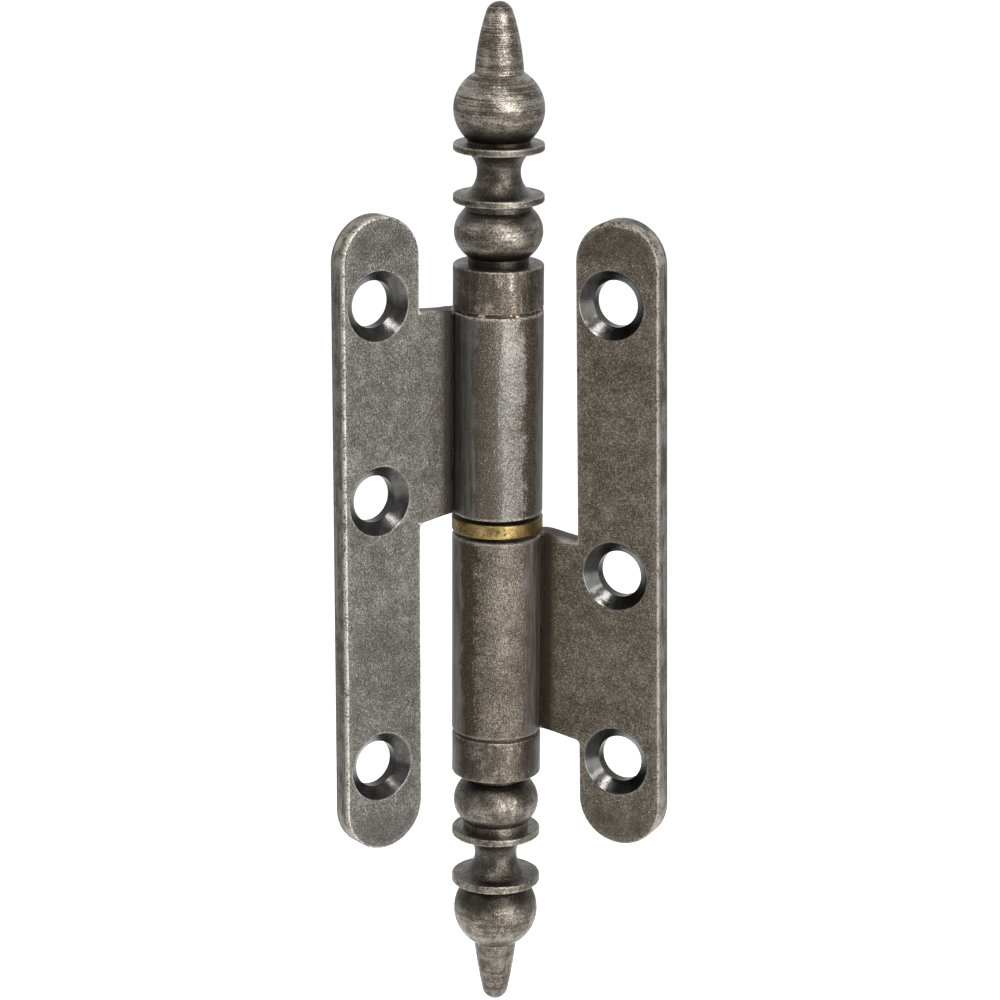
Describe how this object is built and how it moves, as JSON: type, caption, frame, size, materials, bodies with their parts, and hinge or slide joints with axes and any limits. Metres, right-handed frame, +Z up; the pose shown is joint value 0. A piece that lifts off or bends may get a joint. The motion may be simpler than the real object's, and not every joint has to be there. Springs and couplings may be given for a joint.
{
  "type": "lift-off hinge",
  "caption": "Lift-off furniture hinge: two countersunk leaves rolled into knuckles on a fixed pin, a loose brass washer between them, and a turned finial at each end.",
  "frame": {"origin": "middle of the lower leaf's back face, where that leaf lies on the frame", "axes": "+Z up along the pin, +Y out of the lower leaf's back into the frame, +X outward along the lower leaf, away from the pin"},
  "size_m": [0.0288, 0.0188, 0.1033],
  "materials": {
    "leaf_iron": "antiqued sheet, dark brown-grey with fine pale speckle and worn pale edges",
    "turned_iron": "antiqued turned bar, dark in the grooves, pale on the rims, with fine lathe rings",
    "pin_steel": "bright drawn rod, lightly greased",
    "brass": "aged, pitted and tarnished at the edges"
  },
  "bodies": {
    "frame_half": {"lower_leaf": "leaf_iron", "pin": "pin_steel", "lower_finial": "turned_iron"},
    "loose_washer": {"washer": "brass"},
    "door_half": {"upper_leaf": "leaf_iron", "upper_finial": "turned_iron"}
  },
  "joints": [
    {"name": "swing", "type": "hinge", "parent": "frame_half", "child": "loose_washer", "pos_m": [-0.01248, -0.00393, 0], "axis": [0, 0, 1], "range_deg": [-152.4, 117.6]},
    {"name": "lift_off", "type": "slide", "parent": "loose_washer", "child": "door_half", "axis": [0, 0, 1], "range_m": [0, 0.018]}
  ]
}
